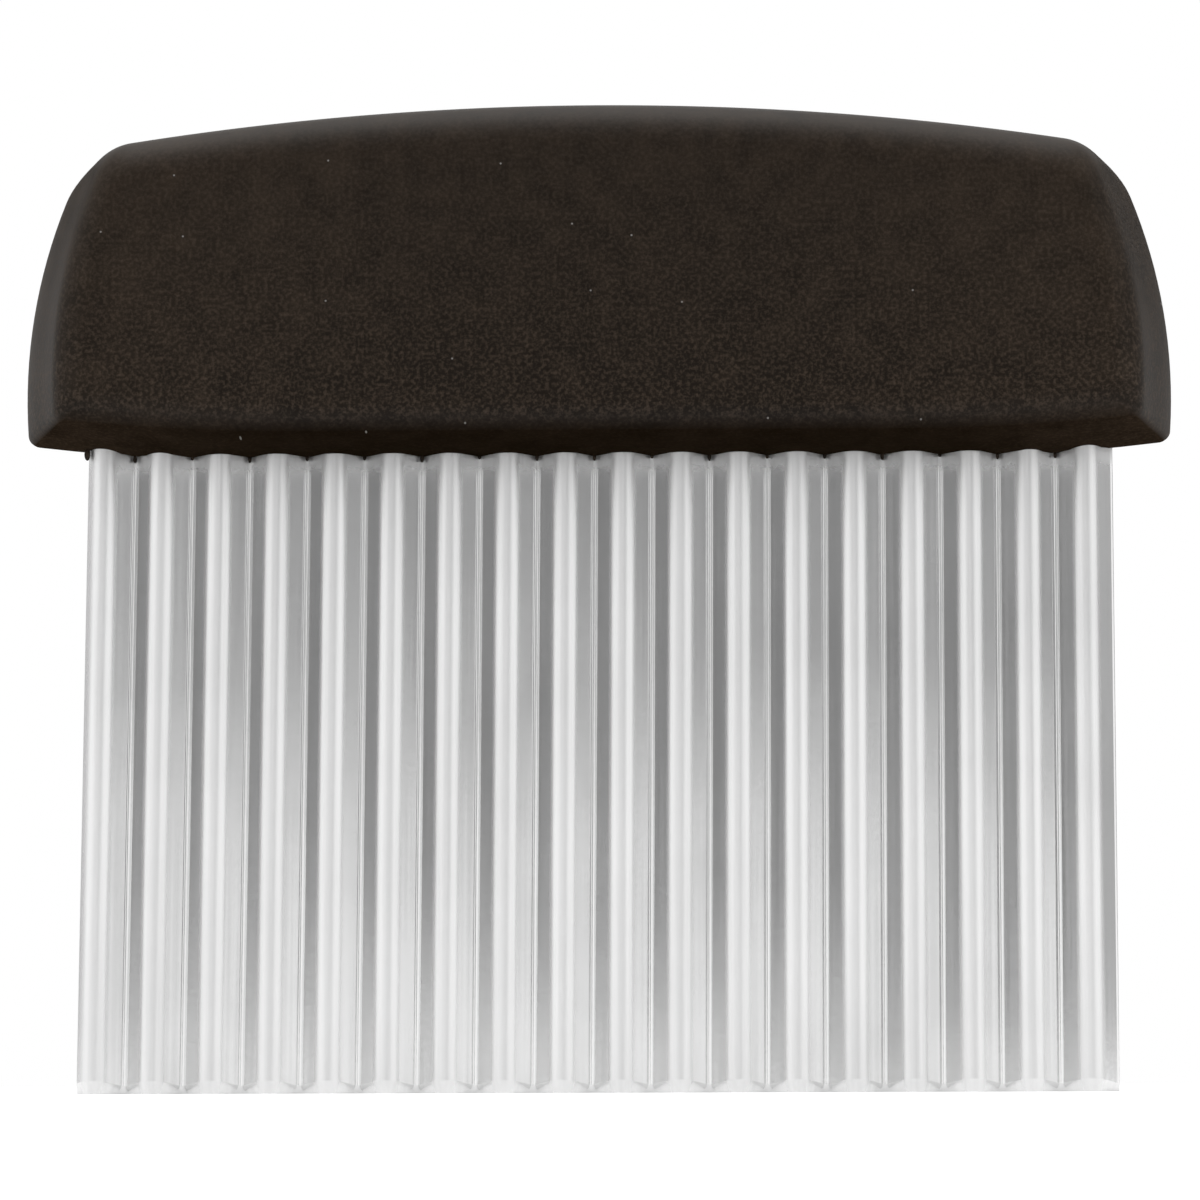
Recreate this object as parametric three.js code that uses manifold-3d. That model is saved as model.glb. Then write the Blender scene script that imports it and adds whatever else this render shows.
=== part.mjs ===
// A crinkle cutter: a corrugated steel blade whose pierced tang is clamped between the two shells of a
// palm handle and locked by cross pins. Millimetres, +Z up. The cutting edge lies on z = 0 along X,
// the front of the tool faces -Y, and the origin is the middle of the cutting edge.
import * as THREE from "three";
import { mergeVertices } from "three/addons/utils/BufferGeometryUtils.js";
import Module from "manifold-3d";

// Blade sizes
const BLADE_WIDTH = 100;
const BLADE_DROP = 61.5; // from the handle's underside down to the cutting edge
const TANG_DEPTH = 15; // part of the sheet inside the handle
const SHEET = 0.6;
const PITCH = 5.63; // from one valley of the corrugation to the next
const FIRST_VALLEY = 4.37; // from the blade's left edge to its first valley
const FLANK_ANGLE = THREE.MathUtils.degToRad(50);
const CREST_BEND = 0.9; // inside bend radius of a crest, which stands out to the front
const VALLEY_BEND = 0.4; // inside bend radius of a valley
const GRIND_HEIGHT = 1; // ground band along the cutting edge
const EDGE_THICKNESS = 0.1;

// Handle sizes
const OVERHANG = 6.1; // handle past each end of the blade
const GRIP_HEIGHT = 34.3;
const GRIP_THICKNESS = 20;
const CROWN_RADIUS = 293; // the top, seen from the front
const SHOULDER_RADIUS = 5.8; // between the top and the ends
const END_RADIUS = 53; // the bowed ends, seen from the front
const END_LEVEL = 6.5; // widest point of the ends above the underside
const TOE_RADIUS = 1.1; // lower corners
const LIFT_RADIUS = 180; // the underside lifts on this radius towards each end
const LIFT_RUN = 23;
const END_DRAFT = THREE.MathUtils.degToRad(23); // from the seam back to the flat faces
const UNDERSIDE_SLOPE = THREE.MathUtils.degToRad(9);
const TOP_SLOPE = THREE.MathUtils.degToRad(4);
const FACE_EDGE_RADIUS = 2.2; // round edge of the flat faces at the ends and the underside
const TOP_EDGE_RADIUS = 5; // round edge of the flat faces at the top
const WALL = 2.5;
const LIP_HEIGHT = 4.5; // thickness of the floor that grips the sheet
const STOP_RIB = 2.5; // rib that bears on the tang's upper edge

// Pin sizes
const PIN_DIAMETER = 3;
const PIN_CHAMFER = 0.4;
const PIN_SEAT_FLOOR = 3.5; // plastic left between a pin's end and the flat face
const BOSS_WALL = 2; // plastic round a pin
const PIN_VALLEY_STEP = 3; // a pin in every third valley
const PIN_END_MARGIN = 12; // no tang pin nearer than this to the blade's side edges
const CLOSING_PIN_INSET = 18; // from the handle's ends

const CLEARANCE = 0.3; // between a piece and what holds it

// Places worked out from the sizes
const underside = BLADE_DROP;
const gripTop = underside + GRIP_HEIGHT;
const tangTop = underside + TANG_DEPTH;
const floorTop = underside + LIP_HEIGHT;
const halfBlade = BLADE_WIDTH / 2;
const halfGrip = halfBlade + OVERHANG;
const faceDepth = GRIP_THICKNESS / 2;
const crestRadius = CREST_BEND + SHEET / 2;
const valleyRadius = VALLEY_BEND + SHEET / 2;
const bends = crestRadius + valleyRadius;
const flankLength = (PITCH / 2 - bends * Math.sin(FLANK_ANGLE)) / Math.cos(FLANK_ANGLE);
const waveDepth = bends * (1 - Math.cos(FLANK_ANGLE)) + flankLength * Math.sin(FLANK_ANGLE);
const pinHalf = faceDepth - PIN_SEAT_FLOOR;
const pinLevel = (floorTop + tangTop) / 2;
const bossRadius = PIN_DIAMETER / 2 + CLEARANCE + BOSS_WALL;
const MARGIN = 2; // cutting bodies run past the surfaces that they cut

// Segments of the round stretches
const BEND_STEPS = 4;
const SKIN_STEPS = { lift: 3, toe: 3, end: 7, shoulder: 6, crown: 9, depth: 11 };
const INNER_STEPS = { lift: 1, toe: 1, end: 4, shoulder: 3, crown: 5, depth: 5 };
const PIN_STEPS = 20;

const wasm = await Module();
wasm.setup();

// A closed geometry as a solid that can be joined and cut.
function solid(geometry) {
  geometry.deleteAttribute("normal");
  geometry.deleteAttribute("uv");
  const merged = mergeVertices(geometry);
  return new wasm.Manifold(
    new wasm.Mesh({
      numProp: 3,
      vertProperties: new Float32Array(merged.attributes.position.array),
      triVerts: new Uint32Array(merged.index.array),
    }),
  );
}

// A named mesh of a finished solid.
function piece(name, body, material) {
  const cut = body.getMesh();
  const geometry = new THREE.BufferGeometry();
  geometry.setAttribute("position", new THREE.BufferAttribute(cut.vertProperties, 3));
  geometry.setIndex(new THREE.BufferAttribute(cut.triVerts, 1));
  geometry.computeVertexNormals();
  const mesh = new THREE.Mesh(geometry, material);
  mesh.name = name;
  return mesh;
}

// Skins a row of rings that have one point count. Each ring runs counter-clockwise seen from the last
// ring's side, and flatten gives its two flat coordinates as seen from there.
function loft(rings, flatten) {
  const count = rings[0].length;
  const points = rings.flat();
  const triangles = [];
  for (let level = 0; level < rings.length - 1; level++) {
    for (let i = 0; i < count; i++) {
      const a = level * count + i;
      const b = level * count + ((i + 1) % count);
      triangles.push(a, b, a + count, b, b + count, a + count);
    }
  }
  const last = (rings.length - 1) * count;
  for (const [a, b, c] of THREE.ShapeUtils.triangulateShape(rings[0].map(flatten), [])) {
    triangles.push(a, c, b);
  }
  for (const [a, b, c] of THREE.ShapeUtils.triangulateShape(rings.at(-1).map(flatten), [])) {
    triangles.push(last + a, last + b, last + c);
  }
  const geometry = new THREE.BufferGeometry().setFromPoints(points);
  geometry.setIndex(triangles);
  return solid(geometry);
}

const seenFromAbove = (p) => new THREE.Vector2(p.x, p.y);
const seenFromFront = (p) => new THREE.Vector2(p.x, p.z);

// A prism that stands on a flat outline in X and Y.
function prism(outline, low, high) {
  const ring = (z) => outline.map((p) => new THREE.Vector3(p.x, p.y, z));
  return loft([ring(low), ring(high)], seenFromAbove);
}

function box(low, high) {
  const geometry = new THREE.BoxGeometry(high.x - low.x, high.y - low.y, high.z - low.z);
  geometry.translate((low.x + high.x) / 2, (low.y + high.y) / 2, (low.z + high.z) / 2);
  return solid(geometry);
}

// A round bar along Y.
function bar(radius, x, z, from, to) {
  const geometry = new THREE.CylinderGeometry(radius, radius, Math.abs(to - from), PIN_STEPS);
  geometry.translate(x, (from + to) / 2, z);
  return solid(geometry);
}

// Corrugation

const firstValleyX = -halfBlade + FIRST_VALLEY;
const valleyCount = Math.floor((BLADE_WIDTH - FIRST_VALLEY) / PITCH) + 1;
const valleyX = (index) => firstValleyX + index * PITCH;

// The middle of the sheet from side to side as points with the normal that faces the rear. Each bend
// is an arc through twice the flank angle, and the flanks are the straight lines between the arcs.
function waveMiddle(halfWidth) {
  const path = [];
  const bend = (x, radius, facing) => {
    for (let step = 0; step <= BEND_STEPS; step++) {
      const turn = FLANK_ANGLE * ((2 * step) / BEND_STEPS - 1);
      const normal = new THREE.Vector2(facing * Math.sin(turn), Math.cos(turn));
      const y = facing * (waveDepth / 2 - radius + radius * Math.cos(turn));
      path.push({ at: new THREE.Vector2(x + radius * Math.sin(turn), y), normal });
    }
  };
  for (let index = -1; index <= valleyCount; index++) {
    bend(valleyX(index), valleyRadius, 1);
    bend(valleyX(index) + PITCH / 2, crestRadius, -1);
  }
  const inside = path.filter((p) => Math.abs(p.at.x) < halfWidth);
  const endAt = (a, b, x) => {
    const share = (x - a.at.x) / (b.at.x - a.at.x);
    const normal = a.normal.clone().lerp(b.normal, share).normalize();
    return { at: a.at.clone().lerp(b.at, share), normal };
  };
  const first = path.indexOf(inside[0]);
  const last = path.indexOf(inside.at(-1));
  return [
    endAt(path[first - 1], path[first], -halfWidth),
    ...inside,
    endAt(path[last], path[last + 1], halfWidth),
  ];
}

// The sheet's section, counter-clockwise from above: along the front, then back along the rear.
function sheetSection(halfWidth, halfThickness) {
  const middle = waveMiddle(halfWidth);
  const face = (p, side) => p.at.clone().addScaledVector(p.normal, side * halfThickness);
  return [...middle.map((p) => face(p, -1)), ...middle.reverse().map((p) => face(p, 1))];
}

// Pins: one in every third valley through the tang, and two across the seam above it

const tangPins = [];
for (let index = PIN_VALLEY_STEP - 1; index < valleyCount; index += PIN_VALLEY_STEP) {
  const x = valleyX(index);
  if (Math.abs(x) <= halfBlade - PIN_END_MARGIN) tangPins.push({ x, z: pinLevel });
}
const stopTop = tangTop + CLEARANCE + STOP_RIB;
const closingX = halfGrip - CLOSING_PIN_INSET;
const roofAtClosing = gripTop - WALL - (CROWN_RADIUS - Math.sqrt(CROWN_RADIUS ** 2 - closingX ** 2));
const closingZ = (stopTop + roofAtClosing) / 2;
const closingPins = [
  { name: "closing_pin_left", x: -closingX, z: closingZ },
  { name: "closing_pin_right", x: closingX, z: closingZ },
];

function pinBody({ x, z }) {
  const radius = PIN_DIAMETER / 2;
  const profile = [
    new THREE.Vector2(0, -pinHalf),
    new THREE.Vector2(radius - PIN_CHAMFER, -pinHalf),
    new THREE.Vector2(radius, -pinHalf + PIN_CHAMFER),
    new THREE.Vector2(radius, pinHalf - PIN_CHAMFER),
    new THREE.Vector2(radius - PIN_CHAMFER, pinHalf),
    new THREE.Vector2(0, pinHalf),
  ];
  return solid(new THREE.LatheGeometry(profile, PIN_STEPS).translate(x, 0, z));
}

// Blade: the sheet is thinned to the cutting edge over the ground band, and pierced for the pins

function bladeBody() {
  const ring = (z, thickness) =>
    sheetSection(halfBlade, thickness / 2).map((p) => new THREE.Vector3(p.x, p.y, z));
  const rings = [ring(0, EDGE_THICKNESS), ring(GRIND_HEIGHT, SHEET), ring(tangTop, SHEET)];
  let body = loft(rings, seenFromAbove);
  for (const pin of tangPins) {
    body = body.subtract(bar(PIN_DIAMETER / 2 + CLEARANCE, pin.x, pin.z, -faceDepth, faceDepth));
  }
  return body;
}

// Handle

// How far an edge has come in at a depth: it leaves the seam on a slope and rounds over into a flat face.
function edgeRun(depth, slope, radius, flatDepth) {
  const tangent = radius * Math.tan((Math.PI / 2 - slope) / 2);
  if (depth <= flatDepth - tangent * Math.cos(slope)) return depth * Math.tan(slope);
  const reach = flatDepth * Math.tan(slope) + tangent;
  const past = depth - flatDepth + radius;
  return reach - Math.sqrt(Math.max(0, radius ** 2 - past ** 2));
}

// The crossing of two circles that lies furthest along a direction.
function crossing(centreA, radiusA, centreB, radiusB, along) {
  const apart = centreB.clone().sub(centreA);
  const distance = apart.length();
  const foot = (radiusA ** 2 - radiusB ** 2 + distance ** 2) / (2 * distance);
  const half = Math.sqrt(radiusA ** 2 - foot ** 2);
  const base = centreA.clone().addScaledVector(apart, foot / distance);
  const across = new THREE.Vector2(-apart.y, apart.x).multiplyScalar(half / distance);
  if (across.dot(along) < 0) across.negate();
  return base.add(across);
}

// The handle's outline seen from the front, as five arcs a side that run into each other smoothly:
// lifted underside, toe, bowed end, shoulder and crown. X and Z are the two flat coordinates. The level
// of the end's widest point and the shoulder shrink with the outline's height from the seam to the faces.
function gripOutline(halfWidth, bottom, top, steps) {
  const share = (top - bottom) / GRIP_HEIGHT;
  const shoulderRadius = SHOULDER_RADIUS * share;
  const lift = new THREE.Vector2(halfWidth - LIFT_RUN, bottom + LIFT_RADIUS);
  const end = new THREE.Vector2(halfWidth - END_RADIUS, bottom + END_LEVEL * share);
  const crown = new THREE.Vector2(0, top - CROWN_RADIUS);
  const outAndDown = new THREE.Vector2(1, -1);
  const out = new THREE.Vector2(1, 0);
  const toe = crossing(lift, LIFT_RADIUS - TOE_RADIUS, end, END_RADIUS - TOE_RADIUS, outAndDown);
  const shoulder = crossing(end, END_RADIUS - shoulderRadius, crown, CROWN_RADIUS - shoulderRadius, out);
  const turn = (from, to) => Math.atan2(to.y - from.y, to.x - from.x);
  const arc = (centre, radius, from, to, parts) =>
    new THREE.EllipseCurve(centre.x, centre.y, radius, radius, from, to).getPoints(parts);
  const joints = [turn(lift, toe), turn(end, toe), turn(end, shoulder), turn(crown, shoulder)];
  const right = [
    ...arc(lift, LIFT_RADIUS, -Math.PI / 2, joints[0], steps.lift),
    ...arc(toe, TOE_RADIUS, joints[0], joints[1], steps.toe).slice(1),
    ...arc(end, END_RADIUS, joints[1], joints[2], steps.end).slice(1),
    ...arc(shoulder, shoulderRadius, joints[2], joints[3], steps.shoulder).slice(1),
    ...arc(crown, CROWN_RADIUS, joints[3], Math.PI / 2, steps.crown).slice(1),
  ];
  const left = right.slice(0, -1).map((p) => new THREE.Vector2(-p.x, p.y));
  return [...right, ...left.reverse()];
}

// Outlines from the rear face to the front face. The steps close up towards the faces, where the round
// edges turn.
function gripRings(flatDepth, steps, sizesAt) {
  const rings = [];
  for (let step = -steps.depth; step <= steps.depth; step++) {
    const y = -flatDepth * Math.sin((step / steps.depth) * (Math.PI / 2));
    const { halfWidth, bottom, top } = sizesAt(Math.abs(y));
    const outline = gripOutline(halfWidth, bottom, top, steps);
    rings.push(outline.map((p) => new THREE.Vector3(p.x, y, p.y)));
  }
  return rings;
}

const gripForm = loft(
  gripRings(faceDepth, SKIN_STEPS, (depth) => ({
    halfWidth: halfGrip - edgeRun(depth, END_DRAFT, FACE_EDGE_RADIUS, faceDepth),
    bottom: underside + edgeRun(depth, UNDERSIDE_SLOPE, FACE_EDGE_RADIUS, faceDepth),
    top: gripTop - edgeRun(depth, TOP_SLOPE, TOP_EDGE_RADIUS, faceDepth),
  })),
  seenFromFront,
);

// The handle's inside above the floor, at a distance below its skin.
function insideForm(inset) {
  const flatDepth = faceDepth - inset;
  const rings = gripRings(flatDepth, INNER_STEPS, (depth) => ({
    halfWidth: halfGrip - inset / Math.cos(END_DRAFT) - depth * Math.tan(END_DRAFT),
    bottom: floorTop,
    top: gripTop - inset - edgeRun(depth, TOP_SLOPE, TOP_EDGE_RADIUS - inset, flatDepth),
  }));
  return loft(rings, seenFromFront);
}

const cavityForm = insideForm(WALL);
const fittingForm = insideForm(WALL / 2);

const slotForm = prism(
  sheetSection(halfBlade + CLEARANCE, SHEET / 2 + CLEARANCE),
  underside - MARGIN,
  tangTop,
);

// The half of space that one shell fills: up to the middle of the sheet along the tang, where the floor
// grips it, and up to the plane of the seam everywhere else. Side is -1 for the front and 1 for the rear.
function shellSpace(side) {
  const farX = halfGrip + MARGIN;
  const farY = side * (faceDepth + MARGIN);
  const seam = [
    new THREE.Vector2(-farX, 0),
    new THREE.Vector2(-halfBlade - MARGIN, 0),
    ...waveMiddle(halfBlade + CLEARANCE).map((p) => p.at),
    new THREE.Vector2(halfBlade + MARGIN, 0),
    new THREE.Vector2(farX, 0),
  ];
  const back = [new THREE.Vector2(farX, farY), new THREE.Vector2(-farX, farY)];
  const outline = side > 0 ? [...seam, ...back] : [...seam.reverse(), ...back.reverse()];
  const gripZone = prism(outline, underside - MARGIN, tangTop);
  const upperZone = box(
    new THREE.Vector3(-farX, Math.min(0, farY), tangTop),
    new THREE.Vector3(farX, Math.max(0, farY), gripTop + MARGIN),
  );
  return gripZone.add(upperZone);
}

// Rib over the tang and bosses round the pins, rooted in the wall of one shell. The bosses of the tang
// pins stop clear of the sheet, and those of the closing pins meet at the seam.
function shellFittings(side) {
  const ribEnd = closingX + bossRadius;
  const far = side * faceDepth;
  const tangBossFace = side * (waveDepth / 2 + SHEET / 2 + CLEARANCE);
  let fittings = box(
    new THREE.Vector3(-ribEnd, Math.min(0, far), tangTop + CLEARANCE),
    new THREE.Vector3(ribEnd, Math.max(0, far), stopTop),
  );
  for (const pin of tangPins) fittings = fittings.add(bar(bossRadius, pin.x, pin.z, tangBossFace, far));
  for (const pin of closingPins) fittings = fittings.add(bar(bossRadius, pin.x, pin.z, 0, far));
  return fittings.intersect(fittingForm);
}

function shellBody(side) {
  let body = gripForm.intersect(shellSpace(side)).subtract(cavityForm).add(shellFittings(side));
  body = body.subtract(slotForm);
  for (const pin of [...tangPins, ...closingPins]) {
    const seat = pinHalf + CLEARANCE;
    body = body.subtract(bar(PIN_DIAMETER / 2 + CLEARANCE, pin.x, pin.z, -seat, seat));
  }
  return body;
}

// Materials and assembly

const plastic = () => new THREE.MeshStandardMaterial({ color: 0x261f1b, roughness: 0.55, metalness: 0 });
const steel = (roughness) => new THREE.MeshStandardMaterial({ color: 0xc9cccd, roughness, metalness: 1 });

const cutter = new THREE.Group();
cutter.add(piece("blade", bladeBody(), steel(0.25)));
cutter.add(piece("front_shell", shellBody(-1), plastic()));
cutter.add(piece("rear_shell", shellBody(1), plastic()));
tangPins.forEach((pin, i) => cutter.add(piece(`tang_pin_${i + 1}`, pinBody(pin), steel(0.35))));
closingPins.forEach((pin) => cutter.add(piece(pin.name, pinBody(pin), steel(0.35))));

export default cutter;
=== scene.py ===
"""Crinkle cutter: a corrugated steel blade held between the two moulded shells of a palm handle.

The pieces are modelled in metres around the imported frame. The cutting edge lies on z = 0 along X,
and the front of the tool faces -Y.
"""

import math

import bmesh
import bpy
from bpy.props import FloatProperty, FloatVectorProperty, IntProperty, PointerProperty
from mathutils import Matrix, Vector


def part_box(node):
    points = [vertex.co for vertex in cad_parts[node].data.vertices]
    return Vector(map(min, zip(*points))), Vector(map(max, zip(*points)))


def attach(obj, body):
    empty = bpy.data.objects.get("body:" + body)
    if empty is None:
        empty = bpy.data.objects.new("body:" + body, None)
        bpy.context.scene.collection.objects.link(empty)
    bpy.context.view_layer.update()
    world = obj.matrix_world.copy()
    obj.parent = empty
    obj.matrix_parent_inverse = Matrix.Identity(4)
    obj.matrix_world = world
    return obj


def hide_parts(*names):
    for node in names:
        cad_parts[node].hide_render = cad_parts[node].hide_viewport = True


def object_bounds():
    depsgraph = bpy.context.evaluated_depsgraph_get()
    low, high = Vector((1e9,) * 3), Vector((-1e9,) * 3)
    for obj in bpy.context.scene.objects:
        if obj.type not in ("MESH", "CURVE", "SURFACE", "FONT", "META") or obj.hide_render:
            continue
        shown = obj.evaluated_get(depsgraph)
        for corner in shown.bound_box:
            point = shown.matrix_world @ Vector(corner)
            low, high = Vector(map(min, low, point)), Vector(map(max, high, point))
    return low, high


bl_info = {
    "name": "Crinkle Cutter",
    "version": (1, 0, 0),
    "blender": (4, 5, 0),
    "location": "3D View > Sidebar > Cutter",
    "description": "Models a crinkle cutter around its frame and sets up its studio",
    "category": "Object",
}

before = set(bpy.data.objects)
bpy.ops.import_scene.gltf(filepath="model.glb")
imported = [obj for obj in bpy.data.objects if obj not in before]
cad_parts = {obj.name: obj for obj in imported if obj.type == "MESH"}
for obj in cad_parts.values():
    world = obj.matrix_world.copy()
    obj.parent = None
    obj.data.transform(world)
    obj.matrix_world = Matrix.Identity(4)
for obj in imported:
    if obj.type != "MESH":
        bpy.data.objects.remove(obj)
CAD_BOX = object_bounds()

BODY = "root"
MM = 0.001
MERGE = 1e-7
MARGIN = 2 * MM  # cutting bodies run past the surfaces that they cut
SHADE_DRIP_SPREAD = 0.35  # share by which the dark drips in the valleys differ; the drips paint shade in the flutes
SHADE_DRIP_TURN = 2.4  # step that spreads those differences along the row
DRIP_MIDDLE = 0.3  # where a drip is widest, as a share of its hang
BOW_PEAK = 27 / 4  # brings the highest point of the ends' bow to its full height
NUB_REACH = 0.1 * MM  # from the sheet's left edge to the middle of the drip there
PIN_SEGMENTS = 48
PIN_RIM = 0.4 * MM  # round of the pins' rims
PIN_RIM_STEPS = 4
ARC_STEPS = (3, 3, 8, 7, 12)  # of the outline's lift, toe, end, shoulder and crown
GRIP_RINGS = 32  # from the seam to a face
INSIDE_RINGS = 12
FACE_INSET = 0.3 * MM  # narrow border round the flat faces, which keeps their shading flat
DRIP_SEGMENTS = 16
DRIP_RINGS = 12
# Degrees from which an edge is shaded sharp
BLADE_CREASE = 11
SHELL_CREASE = 25
PIN_CREASE = 30

# Features a metre in the finishes
GRAIN_SCALE = 2600
PLASTIC_CLOUD_SCALE = 300
LINT_SCALE = 160
MOTTLE_SCALE = 1500
STEEL_CLOUD_SCALE = 60
STREAK_SCALE = (1400, 1400, 14)
GRIND_SCALE = (6000, 6000, 300)
TURNING_SCALE = (60, 5000, 60)
# Depths of relief in the finishes
GRAIN_RELIEF = 0.03 * MM
MOTTLE_RELIEF = 0.003 * MM
STREAK_RELIEF = 0.004 * MM
GRIND_RELIEF = 0.004 * MM
TURNING_RELIEF = 0.003 * MM
SPECK_CORE = 0.6  # share of a speck's radius inside its soft rim
SENSOR_WIDTH = 36  # millimetres, as Blender's cameras count
CLIP_START = 0.01
FLOOR_HALF = 4
WORLD_LIGHT = 0.5
WORLD_SHOWN = 1
# Where the floor starts to turn white and is all white, and its glow near the tool
FLOOR_SEEN = (0.1, 0.4, 0.4)
FLOOR_IN_GLOSS = (0.2, 0.6, 0.2)
# Name, place, width and watts of each lamp, and whether glossy surfaces show it
LAMPS = (
    ("key", (-0.7, -0.8, 1.0), 0.6, 6, False),
    ("fill", (0.8, -0.7, 0.8), 0.6, 4, False),
    ("overhead", (0, 0, 1.1), 0.8, 5, True),
)
BOARD_DISTANCE = 1.2
# Name, degrees round to the right from the front, width, lower edge, height and grey of each board
BOARDS = (
    ("left_board", -18, 0.56, 0.13, 1.0, 0.38),
    ("right_board", 17, 0.5, 0.025, 1.0, 0.275),
    ("front_board", 5, 0.26, -0.02, 0.08, 0.05),
    ("left_side_board", -100, 0.7, 0, 1.0, 0.75),
    ("right_side_board", 100, 0.7, 0, 1.0, 0.55),
    ("left_rear_board", -148, 0.8, 0.43, 0.3, 0.03),
    ("right_rear_board", 148, 0.8, 0.36, 0.36, 0.03),
)

blade_low, blade_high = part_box("blade")
front_low, front_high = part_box("front_shell")
tang_pins = sorted(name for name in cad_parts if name.startswith("tang_pin"))
closing_pins = sorted(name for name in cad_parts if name.startswith("closing_pin"))

UNDERSIDE = front_low.z
GRIP_TOP = front_high.z
HALF_GRIP = front_high.x
FACE_DEPTH = -front_low.y
HALF_BLADE = blade_high.x
TANG_TOP = blade_high.z


def length(name, description, default):
    """A size in metres that a user may change."""
    return FloatProperty(
        name=name,
        description=description,
        default=default,
        min=0,
        precision=5,
        subtype="DISTANCE",
        unit="LENGTH",
    )


def turn(name, description, degrees):
    """An angle that a user may change."""
    return FloatProperty(
        name=name, description=description, default=math.radians(degrees), subtype="ANGLE", unit="ROTATION"
    )


def tint(name, description, default):
    """A colour that a user may change."""
    return FloatVectorProperty(
        name=name, description=description, default=default, min=0, max=1, size=3, subtype="COLOR"
    )


class BladeSettings(bpy.types.PropertyGroup):
    """Sizes of the corrugated sheet."""

    pitch: length("Pitch", "From one valley of the corrugation to the next", 5.63 * MM)
    first_valley: length("First valley", "From the left edge to the first valley", 4.37 * MM)
    flank_angle: turn("Flank angle", "Slope of the flanks against the sheet's plane", 50)
    sheet: length("Sheet", "Thickness of the steel", 0.6 * MM)
    crest_bend: length("Crest bend", "Inside radius of a bend that stands out to the front", 0.9 * MM)
    valley_bend: length("Valley bend", "Inside radius of a bend that stands out to the rear", 0.4 * MM)
    bend_steps: IntProperty(name="Bend steps", description="Segments of each bend", default=16, min=2)
    lean: turn("Lean", "How far the corrugations run off square to the cutting edge", 0.4)
    grind_height: length("Grind height", "Mean height of the ground band", 1 * MM)
    grind_lean: turn("Grind lean", "Lean of the grinding wheel, which scallops the band", 12)
    edge_thickness: length("Edge thickness", "Steel left at the cutting edge", 0.1 * MM)


class HandleSettings(bpy.types.PropertyGroup):
    """Sizes of the handle and of what its shells hold."""

    crown_radius: length("Crown radius", "Round of the top seen from the front", 293 * MM)
    shoulder_radius: length("Shoulder radius", "Between the top and the ends, at the seam", 8.2 * MM)
    face_shoulder_radius: length("Face shoulder radius", "The same round at the faces", 3.4 * MM)
    end_radius: length("End radius", "Bow of the ends seen from the front", 53 * MM)
    end_level: length("End level", "Widest point of the ends above the underside", 6.5 * MM)
    toe_radius: length("Toe radius", "Lower corners", 1.1 * MM)
    lift_radius: length("Lift radius", "Round on which the underside lifts towards the ends", 180 * MM)
    lift_run: length("Lift run", "Length over which the underside lifts", 23 * MM)
    end_draft: turn("End draft", "Slope of the ends from the seam back to the faces", 25)
    end_bow: length("End bow", "How far the drafted ends stand out near the seam", 0.12 * MM)
    underside_slope: turn("Underside slope", "Slope of the underside from the seam up to the faces", 9)
    top_slope: turn("Top slope", "Slope of the top from the seam down to the faces", 4)
    face_edge_radius: length("Face edge radius", "Round edge of the flat faces at the underside", 2.8 * MM)
    end_edge_radius: length("End edge radius", "Round edge of the flat faces at the ends", 4 * MM)
    top_edge_radius: length("Top edge radius", "Round edge of the flat faces at the top", 5 * MM)
    seam_groove: length("Seam groove", "Depth and half width of the fine groove along the seam", 0.1 * MM)
    wall: length("Wall", "Thickness of the shells", 2.5 * MM)
    lip_height: length("Lip height", "Thickness of the floor that grips the sheet", 4.5 * MM)
    stop_rib: length("Stop rib", "Rib that bears on the tang's upper edge", 2.5 * MM)
    boss_wall: length("Boss wall", "Plastic round a pin", 2 * MM)
    clearance: length("Clearance", "Between a pin or the tang's edge and its seat", 0.3 * MM)
    slot_gap: length("Slot gap", "Between the sheet and the slot", 0.08 * MM)
    keel_flat: length("Keel flat", "How far the keel is cut flat along the sheet", 0.4 * MM)
    # Painted shade: the dark drips in the valleys stand in for the shade in the flutes under the lip.
    shade_drip_height: length("Flash height", "How far the moulding flash hangs down in the valleys", 0.45 * MM)
    shade_drip_width: length("Flash width", "Width of the moulding flash in a valley", 0.36 * MM)
    nub_height: length("Nub height", "How far the flash at the left edge hangs down", 0.9 * MM)
    nub_width: length("Nub width", "Width of the flash at the left edge", 0.6 * MM)


class FinishSettings(bpy.types.PropertyGroup):
    """Colours of the finishes."""

    plastic: tint("Plastic", "Dark side of the handle's grain", (0.0072, 0.0045, 0.0022))
    plastic_pale: tint("Pale plastic", "Light side of the handle's grain", (0.0540, 0.0374, 0.0252))
    dust: tint("Dust", "Specks of lint on the handle", (0.2, 0.19, 0.18))
    steel: tint("Steel", "Rolled sheet", (0.89, 0.89, 0.89))
    steel_stain: tint("Steel stain", "Dull streaks in the rolled sheet", (0.81, 0.81, 0.81))
    ground_steel: tint("Ground steel", "Fresh metal along the cutting edge", (0.97, 0.97, 0.97))
    pin_steel: tint("Pin steel", "Turned pins", (0.55, 0.55, 0.55))


class StageSettings(bpy.types.PropertyGroup):
    """Camera and studio."""

    distance: length("Distance", "Camera in front of the blade", 380 * MM)
    height: length("Height", "Camera above the floor", 1.5 * MM)
    focal_length: FloatProperty(
        name="Focal length", description="Lens on a 36 mm frame", default=118, min=1, unit="CAMERA"
    )
    pitch: turn("Pitch", "Camera tilted up", 6.915)
    orbit: turn("Orbit", "Camera carried round towards the right side", 0.6)
    roll: turn("Roll", "Camera turned about its own axis", -0.17)
    shift: FloatProperty(
        name="Shift", description="Lens shifted sideways, in widths of the frame", default=0.0008
    )
    floor: tint("Floor", "Pale floor", (0.8, 0.8, 0.8))


# Drawing with edges


def extend(bm, vert, place):
    """Draws an edge from a vertex to a place and returns the new vertex."""
    grown = bmesh.ops.extrude_vert_indiv(bm, verts=[vert])["verts"][0]
    bmesh.ops.translate(bm, verts=[grown], vec=Vector(place) - grown.co)
    return grown


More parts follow.
